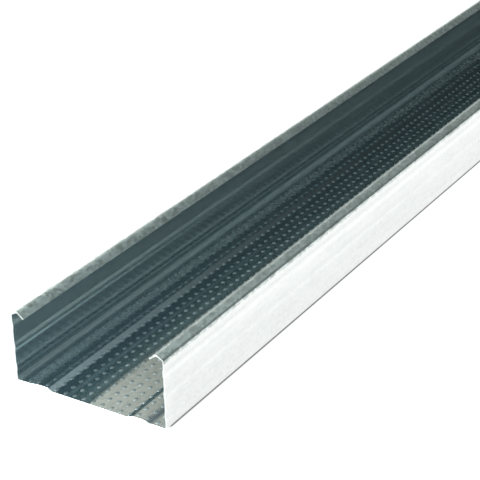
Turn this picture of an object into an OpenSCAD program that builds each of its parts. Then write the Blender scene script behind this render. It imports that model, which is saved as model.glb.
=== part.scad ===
// Galvanised C-stud for drywall walls and ceilings: one strip of sheet steel, roll-formed to an
// open channel with two turned-in lips, two stiffening ribs along the web and grooves along both
// flanges. The channel lies on its web with the open side up.
//
// X runs along the stud, Y across the web and Z up the flanges.
// The origin is at the middle of the web's underside.

/* [Stud] */
// Length that the stud is cut to
stud_length = 3000; // [250:50:6000]
// Width over the outer faces of the two flanges
web_width = 60; // [48:1:150]
// Height from the underside of the web to the top of the lips
flange_height = 27; // [20:1:60]
// Thickness of the sheet
sheet_thickness = 0.6; // [0.4:0.05:1]
// Inside radius of the bends between the web and the flanges
corner_radius = 1; // [0.6:0.1:2.7]

/* [Lips] */
// Reach of a lip, from the flange's outer face to the lip's free edge
lip_reach = 5.6; // [5:0.1:10]
// Distance from the flange's outer face to the crown of the lip
lip_crown_reach = 2.8; // [2.4:0.1:3.2]
// Angle at which a lip climbs from the flange to its crown
lip_climb = 25; // [15:1:35]
// Angle at which a lip falls from its crown to its free edge
lip_fall = 39; // [20:1:48]
// Inside radius of the bends in a lip
lip_radius = 0.8; // [0.4:0.1:1]

/* [Web ribs] */
// Distance from a flange's outer face to the foot of the nearest rib's steep inner side
rib_inset = 15.4; // [14.6:0.2:20]
// Width of the steep side, from the web's middle strip up to the crest
rib_rise = 2.3; // [2:0.1:3]
// Width of the flat crest
rib_crest = 3; // [1:0.2:3.4]
// Width of the softly curved outer side, from the crest down to the web's outer strip
rib_fall = 5.2; // [4:0.2:5.8]
// Height that a rib stands above the web's middle strip
rib_height = 0.95; // [0.7:0.05:1.2]
// Height that the web's outer strips stand above its middle strip
web_step = 0.4; // [0.2:0.05:0.6]

/* [Flange grooves] */
// Height of the lowest groove's middle above the web's underside
groove_start = 5.7; // [5.3:0.1:9]
// Spacing of the grooves up the flange
groove_pitch = 7.7; // [5:0.1:12]
// Width of a groove at the flange's face
groove_width = 3.4; // [2.8:0.1:4]
// Width of the flat floor of a groove
groove_floor = 0.8; // [0.8:0.1:1.4]
// Depth that a groove is pressed into the flange
groove_depth = 0.2; // [0.1:0.05:0.35]
// Clear height that is kept between the highest groove's middle and the top of the lips
groove_headroom = 5; // [4.5:0.1:9]

/* [Rolling] */
// Inside radius of the bends that form the ribs' steep sides
rib_radius = 0.9; // [0.4:0.1:1.2]
// Inside radius of the soft bends that form the grooves
groove_radius = 2.5; // [1:0.1:2.5]
// Largest angle that one flat of a rounded bend turns through
bend_step = 10; // [5:1:20]

/* [Hidden] */

// Share of a rib's outer side that curves down from the crest; the rest curves out again
rib_brow = 0.62;
// Fewest flats in any rounded bend
fewest_flats = 3;

half_sheet = sheet_thickness / 2;
// The mid-plane of the sheet: in the web's middle strip, and in a flange
web_z = half_sheet;
flange_y = web_width / 2 - half_sheet;
// Radii at the mid-plane of the sheet
corner_r = corner_radius + half_sheet;
lip_r = lip_radius + half_sheet;
rib_r = rib_radius + half_sheet;
groove_r = groove_radius + half_sheet;

groove_count = 1 + floor((flange_height - groove_headroom - groove_start) / groove_pitch);

// The lip's two slopes meet above its crown, so that the rounded crown just reaches flange_height
crown_tilt = (lip_climb - lip_fall) / 2;
crown_rise = lip_r / cos((lip_climb + lip_fall) / 2);
crown_y = web_width / 2 - lip_crown_reach + crown_rise * sin(crown_tilt);
crown_z = flange_height - half_sheet - lip_r + crown_rise * cos(crown_tilt);
shoulder_z = crown_z - (flange_y - crown_y) * tan(lip_climb);
edge_y = web_width / 2 - lip_reach + half_sheet * sin(lip_fall);
edge_z = crown_z - (crown_y - edge_y) * tan(lip_fall);

// The rib's outer side is two arcs that meet end to end. Their tangents cross on the slope
// halfway along each arc, so each arc's radius follows from its half width and that slope.
rib_foot_y = web_width / 2 - rib_inset;
rib_edge_y = rib_foot_y + rib_rise;
rib_brow_y = rib_edge_y + rib_crest;
brow_half = rib_fall * rib_brow / 2;
foot_half = rib_fall / 2 - brow_half;
rib_slope = atan((rib_height - web_step) / (rib_fall / 2));
brow_r = brow_half / tan(rib_slope / 2);
foot_r = foot_half / tan(rib_slope / 2);

rib = [
    [rib_foot_y, web_z, rib_r],
    [rib_edge_y, web_z + rib_height, rib_r],
    [rib_brow_y + brow_half, web_z + rib_height, brow_r],
    [rib_brow_y + rib_fall - foot_half, web_z + web_step, foot_r]
];

// A groove's four corners, as [height up the flange, depth]
function groove(middle) = [
    [middle - groove_width / 2, 0],
    [middle - groove_floor / 2, groove_depth],
    [middle + groove_floor / 2, groove_depth],
    [middle + groove_width / 2, 0]
];

grooves = [
    for (i = [0 : groove_count - 1])
        for (p = groove(groove_start + i * groove_pitch))
            [flange_y - p[1], p[0], groove_r]
];

// Half of the section: the mid-plane's corners from the rib to the lip's free edge,
// each as [y, z, bend radius at the mid-plane]
half_section = concat(
    rib,
    [[flange_y, web_z + web_step, corner_r]],
    grooves,
    [
        [flange_y, shoulder_z, lip_r],
        [crown_y, crown_z, lip_r],
        [edge_y, edge_z, 0]
    ]
);

function flipped(corners) = [
    for (i = [len(corners) - 1 : -1 : 0]) [-corners[i][0], corners[i][1], corners[i][2]]
];

section = concat(flipped(half_section), half_section);

// Direction of the straight from corner a to corner b, in degrees
function heading(a, b) = atan2(b[1] - a[1], b[0] - a[0]);

// The turn from one heading to the next, between -180 and 180 degrees
function turn(from, to) = let (d = to - from) d > 180 ? d - 360 : d < -180 ? d + 360 : d;

// One rounded bend of the surface that lies a distance off to the left of the mid-plane
function bend(a, corner, b, off) =
    let (
        first = heading(a, corner),
        angle = turn(first, heading(corner, b)),
        side = sign(angle),
        // the bend's centre lies on the corner's bisector
        reach = corner[2] / cos(angle / 2),
        middle = first + angle / 2 + side * 90,
        centre = [corner[0], corner[1]] + reach * [cos(middle), sin(middle)],
        r = corner[2] - side * off,
        flats = max(fewest_flats, ceil(abs(angle) / bend_step))
    )
    [
        for (i = [0 : flats])
            let (h = first + angle * i / flats - side * 90)
            centre + r * [cos(h), sin(h)]
    ];

// The point beside a free end of the sheet, a distance off to the left of the mid-plane
function free_end(point, direction, off) =
    [point[0] - off * sin(direction), point[1] + off * cos(direction)];

// One whole surface of the sheet, from free edge to free edge
function surface_line(off) =
    let (last = len(section) - 1)
    concat(
        [free_end(section[0], heading(section[0], section[1]), off)],
        [for (i = [1 : last - 1]) each bend(section[i - 1], section[i], section[i + 1], off)],
        [free_end(section[last], heading(section[last - 1], section[last]), off)]
    );

function backwards(points) = [for (i = [len(points) - 1 : -1 : 0]) points[i]];

module sheet_section() {
    polygon(concat(surface_line(-half_sheet), backwards(surface_line(half_sheet))));
}

// The section is drawn in Y and Z and drawn out along X
module stud_channel() {
    color("lightsteelblue")
        translate([-stud_length / 2, 0, 0])
            rotate([90, 0, 90])
                linear_extrude(stud_length)
                    sheet_section();
}

stud_channel();
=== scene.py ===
"""A galvanised steel C-stud: one strip of sheet, roll-formed, lying on a pale studio floor.

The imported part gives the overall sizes. The sheet is rebuilt here as a surface of two
parameters, the distance across the developed strip and the distance along the stud, so that
its bends are smooth, its cut edges are broken and its dimples follow every fold.
"""

import bpy
import numpy as np
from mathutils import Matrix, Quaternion, Vector


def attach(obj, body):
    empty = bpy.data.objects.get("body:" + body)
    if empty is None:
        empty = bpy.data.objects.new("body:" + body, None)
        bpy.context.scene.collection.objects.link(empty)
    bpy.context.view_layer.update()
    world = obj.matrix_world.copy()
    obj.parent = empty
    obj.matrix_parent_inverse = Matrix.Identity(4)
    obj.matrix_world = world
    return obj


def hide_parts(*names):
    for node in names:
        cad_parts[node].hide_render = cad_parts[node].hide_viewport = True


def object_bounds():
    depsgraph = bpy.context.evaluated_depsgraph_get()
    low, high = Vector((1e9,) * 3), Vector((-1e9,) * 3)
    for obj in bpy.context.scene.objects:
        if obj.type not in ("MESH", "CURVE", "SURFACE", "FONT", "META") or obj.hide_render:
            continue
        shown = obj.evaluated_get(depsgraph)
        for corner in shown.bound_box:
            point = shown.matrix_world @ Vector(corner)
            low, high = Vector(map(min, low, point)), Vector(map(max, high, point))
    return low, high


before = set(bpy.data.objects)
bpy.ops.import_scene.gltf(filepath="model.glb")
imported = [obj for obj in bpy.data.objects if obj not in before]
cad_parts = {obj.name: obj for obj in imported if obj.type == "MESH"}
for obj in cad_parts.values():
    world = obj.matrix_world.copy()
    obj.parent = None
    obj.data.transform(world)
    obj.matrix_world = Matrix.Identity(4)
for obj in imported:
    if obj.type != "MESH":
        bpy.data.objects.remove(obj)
CAD_LOW, CAD_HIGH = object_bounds()

MM = 0.001

# ---------------------------------------------------------------- sizes of the rolled section
LENGTH = CAD_HIGH.x - CAD_LOW.x
WEB_WIDTH = CAD_HIGH.y - CAD_LOW.y
FLANGE_HEIGHT = 27.0 * MM
SHEET = 0.6 * MM

# Inside radii of the bends
CORNER_RADIUS = 1.0 * MM
RIB_RADIUS = 0.9 * MM
GROOVE_RADIUS = 2.5 * MM
LIP_RADIUS = 0.8 * MM

# Distances from the flange's outer face to the lip's free edge and to its crown
LIP_REACH = 5.6 * MM
LIP_CROWN_REACH = 2.8 * MM
LIP_CLIMB = np.radians(25.0)
LIP_FALL = np.radians(39.0)

# Distance from the flange's outer face to the foot of a rib's steep side, then the widths of
# the steep side, the crest and the outer side, and the share of the outer side that curves down
RIB_INSET = 15.4 * MM
RIB_RISE = 2.3 * MM
RIB_CREST = 3.0 * MM
RIB_FALL = 5.2 * MM
RIB_BROW = 0.62
RIB_HEIGHT = 0.95 * MM
# Height of the web's outer strips above its middle strip
WEB_STEP = 0.4 * MM

# Height of the lowest groove's middle, and the sizes of a groove
GROOVE_START = 5.7 * MM
GROOVE_PITCH = 7.7 * MM
GROOVE_COUNT = 3
GROOVE_WIDTH = 3.4 * MM
GROOVE_FLOOR = 0.8 * MM
GROOVE_DEPTH = 0.2 * MM

# Width of the flat that is taken off a cut edge's corners
EDGE_BREAK = 0.07 * MM

# ---------------------------------------------------------------- how finely the mesh is cut
BEND_STEP = np.radians(7.5)
FEWEST_FLATS = 4
# Lines across a straight stretch, and how far they keep from a bend
STRAIGHT_STEP = 4 * MM
CLEAR_OF_BENDS = 1 * MM
LINES_ALONG = 61
SHARP_ANGLE = np.radians(30)

# ---------------------------------------------------------------- the pressed dimples
DIMPLE_PITCH = 4.06 * MM
DIMPLE_ROW_PITCH = 3.65 * MM
DIMPLE_LENGTH = 2.2 * MM
DIMPLE_WIDTH = 1.8 * MM
DIMPLE_HEIGHT = 0.06 * MM
# Depth that a dimple's base is sunk in the sheet, and the space kept free at the stud's ends
DIMPLE_SINK = 0.02 * MM
DIMPLE_MARGIN = 1.4 * MM
DIMPLE_SIDES = 8
# Radii of a dimple's rings, as shares of its outline
DIMPLE_RINGS = (0.36, 0.7, 1.0)
# The rows of each group, counted from the middle of the web to its left
DIMPLE_GROUPS = (
    ("dimples_right", range(-7, -2)),
    ("dimples_middle", range(-2, 3)),
    ("dimples_left", range(3, 8)),
)

# ---------------------------------------------------------------- the zinc finish
# Colour, strength of the mottle, roughness and strength of the relief
SHEET_FINISH = ((0.80, 0.87, 0.88), 1.0, 0.06, 1.0)
DIMPLE_FINISH = ((0.72, 0.84, 0.88), 0.6, 0.33, 0.3)

# Pattern scales, in cells per metre along the strip and across it
CRYSTAL_SCALE = (700, 900, 1)
CLOUD_SCALE = (45, 110, 1)
STREAK_SCALE = (12, 1100, 1)
GRAIN_SCALE = (1400, 2200, 1)
WAVE_SCALE = (28, 90, 1)

# Share of the crystals in the mottle, and what the mottle does to brightness and roughness
CRYSTAL_SHARE = 0.7
MEAN_BRIGHTNESS = 0.97
BRIGHTNESS_SWING = 0.22
ROUGHNESS_SWING = -0.06
# Heights of the relief, in millimetres
WAVE_HEIGHT = 0.03
GRAIN_HEIGHT = 0.004

# The flanges' finish starts at this distance from the middle, and the lips' at this height:
# each from the start of the change to its end
FLANGE_STARTS = (25.0 * MM, 28.6 * MM)
LIP_STARTS = (24.2 * MM, 25.0 * MM)
# The inner corner at a flange's foot is scuffed by the rolls up to this height
SCUFF_ENDS = (1.7 * MM, 3.2 * MM)
FLANGE_ROUGHER = 0.15
SCUFF_ROUGHER = 0.33
LIP_ROUGHER = 0.18
# What the flanges and the lips add to the strength of the mottle
FLANGE_MOTTLE = -0.6
LIP_MOTTLE = 3.4
# Share of the clouds and streaks that the lips lose
LIP_CALM = -0.7
LIP_DULLNESS = 0.48
OUTER_COLOUR = (0.85, 0.87, 0.86)
LIP_COLOUR = (0.79, 0.87, 0.83)

# ---------------------------------------------------------------- floor and lamp
FLOOR_HALF_SIZE = 60.0
FLOOR_COLOUR = (0.92, 0.92, 0.92, 1)
# Share of the floor's own light where it is seen or mirrored, and the strength of that light
FLOOR_GLOW = 0.6
GLOW_STRENGTH = 1.6
# The floor under the stud's right side is in shade, between these distances to the right. The
# shade starts and is whole at these distances inside each end
SHADE_EDGES = (13.0 * MM, 14.0 * MM, 29.2 * MM, 29.7 * MM)
SHADE_INSIDE = (2 * MM, 4 * MM)
SHADE_DEPTH = 0.85

LAMP_STRENGTH = 3.0
LAMP_ANGLE = np.radians(50)
LAMP_DIRECTION = (-0.5, 0.7, 0.5)

# ---------------------------------------------------------------- surroundings
# The open side, over a direction's height z
OPEN_SIDE = (
    (0.00, (0.80, 0.80, 0.80)),
    (0.10, (0.80, 0.80, 0.80)),
    (0.22, (0.60, 0.62, 0.60)),
    (0.35, (0.48, 0.53, 0.49)),
    (0.52, (0.50, 0.54, 0.50)),
    (0.70, (0.60, 0.63, 0.60)),
    (1.00, (0.66, 0.68, 0.66)),
)
# It brightens from right to left: the change in y, its least share and what is added to that
LIT_Y = (-0.5, 0.7)
LIT_LEAST = 0.2
LIT_GAIN = 1.3
# The dark side starts between these values of x
DARK_X = (0.1, 0.45)
# The dark side well aside, over the angle round the stud, in half turns from left to right
ROUND_LIGHT = (
    (0.00, (0.10, 0.26, 0.36)),
    (0.27, (0.83, 0.85, 0.76)),
    (0.41, (0.20, 0.26, 0.29)),
    (0.58, (0.58, 0.76, 0.77)),
    (0.69, (0.05, 0.09, 0.11)),
    (0.79, (0.06, 0.11, 0.13)),
    (0.93, (0.32, 0.44, 0.48)),
)
# The dark side straight along the stud, and the values of x where each of the two holds
FAR_LIGHT = (0.020, 0.029, 0.031)
ALONG_X = 0.90
ASIDE_X = 0.62
ASIDE_POWER = 3.0

# ---------------------------------------------------------------- camera
SENSOR_WIDTH = 36.0
FOCAL_LENGTH = 116.61
CLIP_RANGE = (0.01, 200.0)
# The eye's place from the middle of the near end's foot, its direction, and its turn about it
EYE_FROM_END = (-0.32965, -0.26798, 0.26944)
EYE_DIRECTION = (0.75469, 0.47960, -0.44769)
EYE_ROLL = np.radians(-1.4)


# ---------------------------------------------------------------- the section
def rib(level, bend_r):
    """Corners of a web rib, as (y, z, radius).

    Its outer side is two arcs that meet end to end: their tangents cross on the slope halfway
    along each arc, so an arc's radius follows from its half width and that slope.
    """
    foot_y = WEB_WIDTH / 2 - RIB_INSET
    edge_y = foot_y + RIB_RISE
    brow_y = edge_y + RIB_CREST
    brow_half = RIB_FALL * RIB_BROW / 2
    foot_half = RIB_FALL / 2 - brow_half
    half_slope = np.arctan((RIB_HEIGHT - WEB_STEP) / (RIB_FALL / 2)) / 2
    return [
        (foot_y, level, bend_r),
        (edge_y, level + RIB_HEIGHT, bend_r),
        (brow_y + brow_half, level + RIB_HEIGHT, brow_half / np.tan(half_slope)),
        (brow_y + RIB_FALL - foot_half, level + WEB_STEP, foot_half / np.tan(half_slope)),
    ]


def groove(middle):
    """A groove's four corners, as (height up the flange, depth)."""
    return [
        (middle - GROOVE_WIDTH / 2, 0.0),
        (middle - GROOVE_FLOOR / 2, GROOVE_DEPTH),
        (middle + GROOVE_FLOOR / 2, GROOVE_DEPTH),
        (middle + GROOVE_WIDTH / 2, 0.0),
    ]


def half_section():
    """Corners of half the section's mid-plane, from the rib to the lip, as (y, z, radius)."""
    half = SHEET / 2
    flange_y = WEB_WIDTH / 2 - half
    groove_r = GROOVE_RADIUS + half
    lip_r = LIP_RADIUS + half
    corners = rib(half, RIB_RADIUS + half)
    corners.append((flange_y, half + WEB_STEP, CORNER_RADIUS + half))
    for i in range(GROOVE_COUNT):
        middle = GROOVE_START + i * GROOVE_PITCH
        corners += [(flange_y - depth, z, groove_r) for z, depth in groove(middle)]
    # the lip's two slopes meet above the crown, which just reaches the full height
    tilt = (LIP_CLIMB - LIP_FALL) / 2
    rise = lip_r / np.cos((LIP_CLIMB + LIP_FALL) / 2)
    crown_y = WEB_WIDTH / 2 - LIP_CROWN_REACH + rise * np.sin(tilt)
    crown_z = FLANGE_HEIGHT - half - lip_r + rise * np.cos(tilt)
    edge_y = WEB_WIDTH / 2 - LIP_REACH + half * np.sin(LIP_FALL)
    corners += [
        (flange_y, crown_z - (flange_y - crown_y) * np.tan(LIP_CLIMB), lip_r),
        (crown_y, crown_z, lip_r),
        (edge_y, crown_z - (crown_y - edge_y) * np.tan(LIP_FALL), 0.0),
    ]
    return corners


def rounded_line(corners):
    """Straights between corners, with an arc in each corner.

    Returns points, unit normals on the left of the way along, and distances along the line.
    An arc's centre lies on its corner's bisector, at radius / cos(half the turn).
    """
    corner = np.array(corners)
    place, radius = corner[:, :2], corner[:, 2]
    heading = np.arctan2(*np.diff(place, axis=0).T[::-1])
    points = [place[:1]]
    angles = [heading[:1]]
    for i in range(1, len(corner) - 1):
        turn = (heading[i] - heading[i - 1] + np.pi) % (2 * np.pi) - np.pi
        side = np.sign(turn)
        bisector = heading[i - 1] + turn / 2 + side * np.pi / 2
        reach = radius[i] / np.cos(turn / 2)
        centre = place[i] + reach * np.array([np.cos(bisector), np.sin(bisector)])
        flats = max(FEWEST_FLATS, int(np.ceil(abs(turn) / BEND_STEP)))
        along = heading[i - 1] + np.linspace(0, turn, 1 + flats)
        spoke = along - side * np.pi / 2
        points.append(centre + radius[i] * np.stack([np.cos(spoke), np.sin(spoke)], 1))
        angles.append(along)
    points = np.concatenate(points + [place[-1:]])
    angles = np.concatenate(angles + [heading[-1:]])
    normals = np.stack([-np.sin(angles), np.cos(angles)], 1)
    steps = np.hypot(*np.diff(points, axis=0).T)
    return points, normals, np.concatenate([[0.0], np.cumsum(steps)])


HALF = half_section()
SECTION = [(-y, z, r) for y, z, r in reversed(HALF)] + HALF
LINE, NORMAL, ACROSS = rounded_line(SECTION)
STRIP_WIDTH = ACROSS[-1]


def sheet_point(across, along, lift):
    """Points at a lift off the sheet's mid-plane.

    A point is the mid-line's at that distance across, moved by the lift along the mid-line's
    normal, at that distance along the stud. A positive lift is the inner side.
    """
    y, z = (np.interp(across, ACROSS, LINE[:, i]) for i in range(2))
    normal_y, normal_z = (np.interp(across, ACROSS, NORMAL[:, i]) for i in range(2))
    return np.stack([CAD_LOW.x + along + 0 * y, y + lift * normal_y, z + lift * normal_z], -1)


# ---------------------------------------------------------------- meshes
def new_mesh(name, points, faces, uv=None, outer_side=None):
    """A smooth mesh object from arrays of points and faces.

    It may have a place on the strip per point, as its UV map, and a share per point that is 1
    on the sheet's outer side.
    """
    mesh = bpy.data.meshes.new(name)
    mesh.from_pydata(points.reshape(-1, 3).tolist(), [], faces.tolist())
    mesh.shade_smooth()
    if uv is not None:
        corner_point = np.empty(len(mesh.loops), np.int32)
        mesh.loops.foreach_get("vertex_index", corner_point)
        corner_uv = uv.reshape(-1, 2)[corner_point].ravel().astype(np.float32)
        mesh.uv_layers.new(name="strip").uv.foreach_set("vector", corner_uv)
    if outer_side is not None:
        share = mesh.attributes.new("outer_side", "FLOAT", "POINT")
        share.data.foreach_set("value", outer_side.astype(np.float32))
    mesh.update()
    piece = bpy.data.objects.new(name, mesh)
    bpy.context.scene.collection.objects.link(piece)
    return piece


def grid_quads(rows, columns):
    """Quads of a grid whose points are numbered row by row."""
    corner = np.arange(rows - 1)[:, None] * columns + np.arange(columns - 1)
    quads = np.stack([corner, corner + 1, corner + columns + 1, corner + columns], -1)
    return quads.reshape(-1, 4)


def with_breaks(values, gap):
    """The values with one more close to each end, where a cut edge is broken."""
    return np.sort(np.concatenate([values, [values[0] + gap, values[-1] - gap]]))


def rolled_sheet():
    """The sheet: two grids half a thickness off the mid-plane, joined round their borders.

    On the border points the half thickness is less by the edge break, and one row further in
    it is whole, so every cut edge has a small flat on both its corners.
    """
    straight = np.arange(0, STRIP_WIDTH, STRAIGHT_STEP)
    clear = np.abs(straight[:, None] - ACROSS).min(1) > CLEAR_OF_BENDS
    across = with_breaks(np.union1d(ACROSS, straight[clear]), EDGE_BREAK)
    along = with_breaks(np.linspace(0, LENGTH, LINES_ALONG), EDGE_BREAK)
    rows, columns = len(along), len(across)
    border = np.zeros((rows, columns), bool)
    border[[0, -1], :] = True
    border[:, [0, -1]] = True
    half = np.where(border, SHEET / 2 - EDGE_BREAK, SHEET / 2)
    grid_across, grid_along = np.meshgrid(across, along)
    inner = sheet_point(grid_across, grid_along, half)
    outer = sheet_point(grid_across, grid_along, -half)

    count = rows * columns
    quads = grid_quads(rows, columns)
    index = np.arange(count).reshape(rows, columns)
    rim = np.concatenate([index[0, :-1], index[:-1, -1], index[-1, :0:-1], index[:0:-1, 0]])
    following = np.roll(rim, -1)
    walls = np.stack([rim, rim + count, following + count, following], 1)
    faces = np.concatenate([quads[:, ::-1], quads + count, walls])

    uv = np.stack([grid_along, grid_across], -1)
    piece = new_mesh(
        "rolled_sheet", np.stack([inner, outer]), faces, uv=np.stack([uv, uv]),
        outer_side=np.repeat([0.0, 1.0], count),
    )
    piece.data.set_sharp_from_angle(angle=SHARP_ANGLE)
    return piece


def dimples(name, rows):
    """Pressed dimples in the given rows of the strip: low closed domes on the inner side.

    A dome has an apex, two rings and a base ring that is sunk in the sheet. A ring's points lie
    on an ellipse, and the height is DIMPLE_HEIGHT * (1 - radius^2)^2, so the skirt runs out
    softly. Rows lie at whole multiples of their pitch from the middle of the strip, and dimples
    at whole multiples of theirs from the middle of the stud.
    """
    sides = DIMPLE_SIDES
    turns = np.arange(sides) * 2 * np.pi / sides
    radius = np.concatenate([[0.0], np.repeat(DIMPLE_RINGS, sides)])
    angle = np.concatenate([[0.0], turns, turns + np.pi / sides, turns])
    rise = DIMPLE_HEIGHT * (1 - radius**2) ** 2 - DIMPLE_SINK * (radius == 1)
    out_along = DIMPLE_LENGTH / 2 * radius * np.cos(angle)
    out_across = DIMPLE_WIDTH / 2 * radius * np.sin(angle)

    count = int((LENGTH / 2 - DIMPLE_MARGIN) / DIMPLE_PITCH)
    along = LENGTH / 2 + np.arange(-count, count + 1) * DIMPLE_PITCH
    across = STRIP_WIDTH / 2 + np.asarray(rows) * DIMPLE_ROW_PITCH
    middle_across, middle_along = (m.reshape(-1, 1) for m in np.meshgrid(across, along))
    points = sheet_point(middle_across + out_across, middle_along + out_along, SHEET / 2 + rise)
    strip = np.stack([middle_along + out_along, middle_across + out_across], -1)

    step = np.arange(sides)
    following = (step + 1) % sides
    faces = [np.stack([0 * step, 1 + step, 1 + following], 1)]
    # each ring is half a step round from the one inside it, first onwards and then back
    for ring, ahead in ((0, 0), (1, 1)):
        inside = 1 + ring * sides
        outside = inside + sides
        outer = (step + ahead) % sides
        next_outer = (outer + 1) % sides
        faces.append(np.stack([inside + step, outside + outer, inside + following], 1))
        faces.append(np.stack([outside + outer, outside + next_outer, inside + following], 1))
    base = 1 + 2 * sides
    faces.append(np.stack([np.full(sides - 2, base), base + step[2:], base + step[1:-1]], 1))
    first = np.arange(len(points))[:, None, None] * points.shape[1]
    return new_mesh(name, points, (first + np.concatenate(faces)).reshape(-1, 3), uv=strip)


# ---------------------------------------------------------------- nodes
def node(tree, kind, inputs=None, **settings):
    """A new node with its settings, and its inputs set to values or linked to other outputs."""
    new = tree.nodes.new(kind)
    for name, value in settings.items():
        setattr(new, name, value)
    for key, value in (inputs or {}).items():
        if isinstance(value, bpy.types.NodeSocket):
            tree.links.new(value, new.inputs[key])
        else:
            new.inputs[key].default_value = value
    return new


def maths(tree, operation, *values):
    """One arithmetic step on values or outputs."""
    inputs = dict(enumerate(values))
    return node(tree, "ShaderNodeMath", inputs, operation=operation).outputs[0]


def between(tree, value, start, end):
    """A soft step from 0 at the start to 1 at the end."""
    limits = {"Value": value, "From Min": start, "From Max": end}
    return node(tree, "ShaderNodeMapRange", limits, interpolation_type="SMOOTHSTEP").outputs[0]


def ramp(tree, value, stops, smooth=False):
    """A colour ramp over a value, from (position, colour) stops."""
    new = node(tree, "ShaderNodeValToRGB", {"Fac": value})
    new.color_ramp.interpolation = "EASE" if smooth else "LINEAR"
    points = new.color_ramp.elements
    while len(points) < len(stops):
        points.new(0.5)
    for point, (position, colour) in zip(points, stops):
        point.position = position
        point.color = (*colour, 1)
    return new.outputs["Color"]


def blend_colour(tree, mode, factor, first, second):
    """Two colours mixed in a given mode."""
    # a Mix node keeps its colours in inputs 6 and 7 and their mix in output 2
    inputs = {0: factor, 6: first, 7: second}
    return node(tree, "ShaderNodeMix", inputs, data_type="RGBA", blend_type=mode).outputs[2]


def grey(tree, value):
    """A grey of the given brightness."""
    return node(tree, "ShaderNodeCombineColor", {0: value, 1: value, 2: value}).outputs[0]


def position(tree, output):
    """The x, y and z of a texture coordinate."""
    place = node(tree, "ShaderNodeTexCoord").outputs[output]
    return node(tree, "ShaderNodeSeparateXYZ", {"Vector": place}).outputs


def stretch(tree, vector, scale):
    """A vector scaled by a different number along each axis."""
    return node(tree, "ShaderNodeMapping", {"Vector": vector, "Scale": scale}).outputs["Vector"]


def noise(tree, strip, scale, detail, roughness):
    """Soft noise over the strip, at a scale along it and across it."""
    return node(tree, "ShaderNodeTexNoise", {
        "Vector": stretch(tree, strip, scale), "Scale": 1.0, "Detail": detail,
        "Roughness": roughness}, noise_dimensions="2D").outputs["Fac"]


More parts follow.
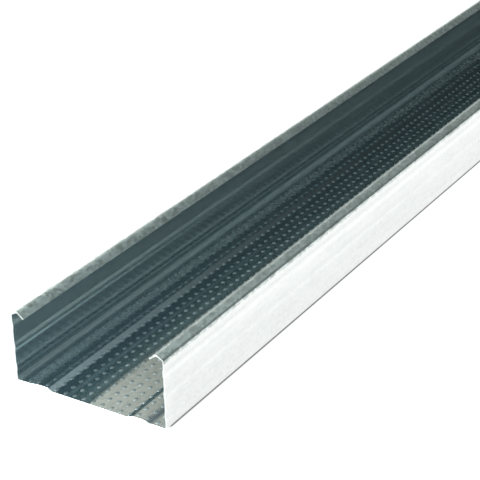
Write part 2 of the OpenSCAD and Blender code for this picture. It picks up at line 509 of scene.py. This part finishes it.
# ---------------------------------------------------------------- materials
def rolled_zinc_group():
    """Zinc on rolled sheet: colour, metallic share, roughness and height over the strip.

    Small crystals, broad clouds and streaks along the rolling direction vary the brightness,
    and the height holds a fine grain and a slight waviness of the sheet. The flanges are
    rougher and more even than the web, the inner corner at their foot is scuffed, and the outer
    side of the lips is duller, more mottled and less metallic.
    """
    group = bpy.data.node_groups.new("rolled_zinc", "ShaderNodeTree")
    for name, kind, value in (
        ("Colour", "NodeSocketColor", (0.8, 0.8, 0.8, 1)),
        ("Mottle", "NodeSocketFloat", 1.0),
        ("Roughness", "NodeSocketFloat", 0.15),
    ):
        socket = group.interface.new_socket(name, in_out="INPUT", socket_type=kind)
        socket.default_value = value
    for name, kind in (
        ("Colour", "NodeSocketColor"),
        ("Metallic", "NodeSocketFloat"),
        ("Roughness", "NodeSocketFloat"),
        ("Height", "NodeSocketFloat"),
    ):
        group.interface.new_socket(name, in_out="OUTPUT", socket_type=kind)
    given = node(group, "NodeGroupInput").outputs

    # where the finish changes
    _, sideways, up = position(group, "Object")
    outer = node(group, "ShaderNodeAttribute", attribute_name="outer_side").outputs["Fac"]
    inner = maths(group, "SUBTRACT", 1.0, outer)
    flange = between(group, maths(group, "ABSOLUTE", sideways), *FLANGE_STARTS)
    lip = maths(group, "MULTIPLY", outer, between(group, up, *LIP_STARTS))
    scuff = maths(group, "MULTIPLY", flange, between(group, up, *SCUFF_ENDS[::-1]))
    scuff = maths(group, "MULTIPLY", scuff, inner)

    # patterns over the strip
    strip = node(group, "ShaderNodeUVMap", uv_map="strip").outputs["UV"]
    crystals = node(group, "ShaderNodeTexVoronoi", {
        "Vector": stretch(group, strip, CRYSTAL_SCALE), "Scale": 1.0, "Randomness": 1.0},
        voronoi_dimensions="2D").outputs["Color"]
    crystal = node(group, "ShaderNodeSeparateColor", {"Color": crystals}).outputs[0]
    cloud = noise(group, strip, CLOUD_SCALE, detail=3.0, roughness=0.6)
    streak = noise(group, strip, STREAK_SCALE, detail=2.0, roughness=0.55)
    grain = noise(group, strip, GRAIN_SCALE, detail=2.0, roughness=0.6)
    wave = noise(group, strip, WAVE_SCALE, detail=1.0, roughness=0.5)

    # the mottle is (cloud + streak - 1) + crystals about their mean, times its strength
    mottle = maths(group, "SUBTRACT", maths(group, "ADD", cloud, streak), 1.0)
    mottle = maths(group, "MULTIPLY", mottle, maths(group, "MULTIPLY_ADD", lip, LIP_CALM, 1.0))
    crystal = maths(group, "SUBTRACT", crystal, 0.5)
    mottle = maths(group, "MULTIPLY_ADD", crystal, CRYSTAL_SHARE, mottle)
    strength = maths(group, "MULTIPLY_ADD", flange, FLANGE_MOTTLE, given["Mottle"])
    strength = maths(group, "MULTIPLY_ADD", lip, LIP_MOTTLE, strength)
    mottle = maths(group, "MULTIPLY", mottle, strength)

    brightness = maths(group, "MULTIPLY_ADD", mottle, BRIGHTNESS_SWING, MEAN_BRIGHTNESS)
    zinc = blend_colour(group, "MIX", outer, given["Colour"], (*OUTER_COLOUR, 1))
    zinc = blend_colour(group, "MIX", lip, zinc, (*LIP_COLOUR, 1))
    colour = blend_colour(group, "MULTIPLY", 1.0, zinc, grey(group, brightness))

    rougher = maths(group, "MAXIMUM", maths(group, "MULTIPLY", flange, FLANGE_ROUGHER),
                    maths(group, "MULTIPLY", lip, LIP_ROUGHER))
    rougher = maths(group, "MAXIMUM", rougher, maths(group, "MULTIPLY", scuff, SCUFF_ROUGHER))
    roughness = maths(group, "MULTIPLY_ADD", mottle, ROUGHNESS_SWING, given["Roughness"])
    roughness = maths(group, "ADD", roughness, rougher)

    metallic = maths(group, "MULTIPLY_ADD", lip, -LIP_DULLNESS, 1.0)
    height = maths(group, "MULTIPLY", grain, GRAIN_HEIGHT)
    height = maths(group, "MULTIPLY_ADD", wave, WAVE_HEIGHT, height)
    node(group, "NodeGroupOutput", {
        "Colour": colour, "Metallic": metallic, "Roughness": roughness, "Height": height})
    return group


def metal(name, group, colour, mottle, roughness, relief):
    """A metal finished by the rolled zinc group."""
    material = bpy.data.materials.new(name)
    material.use_nodes = True
    tree = material.node_tree
    shader = tree.nodes["Principled BSDF"]
    zinc = node(tree, "ShaderNodeGroup", node_tree=group)
    zinc.inputs["Colour"].default_value = (*colour, 1)
    zinc.inputs["Mottle"].default_value = mottle
    zinc.inputs["Roughness"].default_value = roughness
    bump = node(tree, "ShaderNodeBump", {
        "Height": zinc.outputs["Height"], "Strength": relief, "Distance": MM})
    tree.links.new(zinc.outputs["Colour"], shader.inputs["Base Color"])
    tree.links.new(zinc.outputs["Metallic"], shader.inputs["Metallic"])
    tree.links.new(zinc.outputs["Roughness"], shader.inputs["Roughness"])
    tree.links.new(bump.outputs["Normal"], shader.inputs["Normal"])
    return material


# ---------------------------------------------------------------- floor, light and camera
def floor_paint():
    """Matt pale paint that also gives light of its own where it is seen or mirrored.

    Its own light is darker in the shade under the stud's right side.
    """
    paint = bpy.data.materials.new("floor_paint")
    paint.use_nodes = True
    tree = paint.node_tree
    tree.nodes.clear()
    path = node(tree, "ShaderNodeLightPath").outputs
    seen = maths(tree, "MAXIMUM", path["Is Glossy Ray"], path["Is Transmission Ray"])
    seen = maths(tree, "MAXIMUM", path["Is Camera Ray"], seen)
    share = maths(tree, "MULTIPLY", seen, FLOOR_GLOW)

    x, y, _ = position(tree, "Object")
    inner_from, inner_to, outer_from, outer_to = SHADE_EDGES
    shade = maths(tree, "MULTIPLY", between(tree, y, -inner_from, -inner_to),
                  between(tree, y, -outer_to, -outer_from))
    for end, inwards in ((CAD_LOW.x, 1), (CAD_HIGH.x, -1)):
        start, whole = (end + inwards * distance for distance in SHADE_INSIDE)
        shade = maths(tree, "MULTIPLY", shade, between(tree, x, start, whole))
    light = grey(tree, maths(tree, "MULTIPLY_ADD", shade, -SHADE_DEPTH, 1.0))

    matt = node(tree, "ShaderNodeBsdfDiffuse", {"Color": FLOOR_COLOUR}).outputs[0]
    glow = node(tree, "ShaderNodeEmission", {
        "Color": light, "Strength": GLOW_STRENGTH}).outputs[0]
    mixed = node(tree, "ShaderNodeMixShader", {0: share, 1: matt, 2: glow}).outputs[0]
    node(tree, "ShaderNodeOutputMaterial", {"Surface": mixed})
    return paint


def studio():
    """A wide pale floor, and one soft lamp that shines from the left of the near end."""
    size = FLOOR_HALF_SIZE
    corners = np.array([(-size, -size, 0), (size, -size, 0), (size, size, 0), (-size, size, 0)])
    floor = new_mesh("floor", corners, np.array([[0, 1, 2, 3]]))
    floor.data.materials.append(floor_paint())

    lamp = bpy.data.lights.new("soft_lamp", "SUN")
    lamp.energy = LAMP_STRENGTH
    lamp.angle = LAMP_ANGLE
    sun = bpy.data.objects.new("soft_lamp", lamp)
    sun.rotation_euler = Vector(LAMP_DIRECTION).to_track_quat("Z", "Y").to_euler()
    bpy.context.scene.collection.objects.link(sun)


def surroundings():
    """Light by direction alone: an open pale side, and a darker side beyond the far end.

    The open side is a ramp over the direction's height, and brightens from right to left. The
    darker side is a ramp over the angle round the stud, from its left over the top to its
    right, and fades to one dark colour for directions nearly along the stud. Straight from the
    camera the surroundings are white.
    """
    world = bpy.data.worlds.new("surroundings")
    bpy.context.scene.world = world
    world.use_nodes = True
    tree = world.node_tree
    x, y, z = position(tree, "Generated")

    lit = maths(tree, "MULTIPLY_ADD", between(tree, y, *LIT_Y), LIT_GAIN, LIT_LEAST)
    open_side = blend_colour(tree, "MULTIPLY", 1.0, ramp(tree, z, OPEN_SIDE), grey(tree, lit))

    angle = maths(tree, "DIVIDE", maths(tree, "ARCTAN2", z, y), np.pi)
    aside = node(tree, "ShaderNodeMapRange", {
        "Value": x, "From Min": ALONG_X, "From Max": ASIDE_X}).outputs[0]
    aside = maths(tree, "POWER", aside, ASIDE_POWER)
    round_light = ramp(tree, angle, ROUND_LIGHT, smooth=True)
    dark_side = blend_colour(tree, "MIX", aside, (*FAR_LIGHT, 1), round_light)

    colour = blend_colour(tree, "MIX", between(tree, x, *DARK_X), open_side, dark_side)
    seen = node(tree, "ShaderNodeLightPath").outputs["Is Camera Ray"]
    colour = blend_colour(tree, "MIX", seen, colour, (1, 1, 1, 1))
    tree.links.new(colour, tree.nodes["Background"].inputs["Color"])


def camera():
    """Looks along the stud from beyond its near end, from the right and from above."""
    lens = bpy.data.cameras.new("camera")
    lens.sensor_width = SENSOR_WIDTH
    lens.lens = FOCAL_LENGTH
    lens.clip_start, lens.clip_end = CLIP_RANGE
    eye = bpy.data.objects.new("camera", lens)
    eye.location = Vector((CAD_LOW.x, 0, 0)) + Vector(EYE_FROM_END)
    looks = Vector(EYE_DIRECTION).to_track_quat("-Z", "Y")
    roll = Quaternion((0, 0, 1), EYE_ROLL)
    eye.rotation_euler = (looks @ roll).to_euler()
    bpy.context.scene.collection.objects.link(eye)
    bpy.context.scene.camera = eye


ZINC = rolled_zinc_group()
zinc_sheet = metal("zinc_sheet", ZINC, *SHEET_FINISH)
pressed_zinc = metal("pressed_zinc", ZINC, *DIMPLE_FINISH)

sheet = rolled_sheet()
sheet.data.materials.append(zinc_sheet)
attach(sheet, "root")
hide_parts("stud_channel")

for name, rows in DIMPLE_GROUPS:
    piece = dimples(name, rows)
    piece.data.materials.append(pressed_zinc)
    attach(piece, "root")

surroundings()
studio()
camera()
bpy.context.scene.view_settings.view_transform = "Standard"
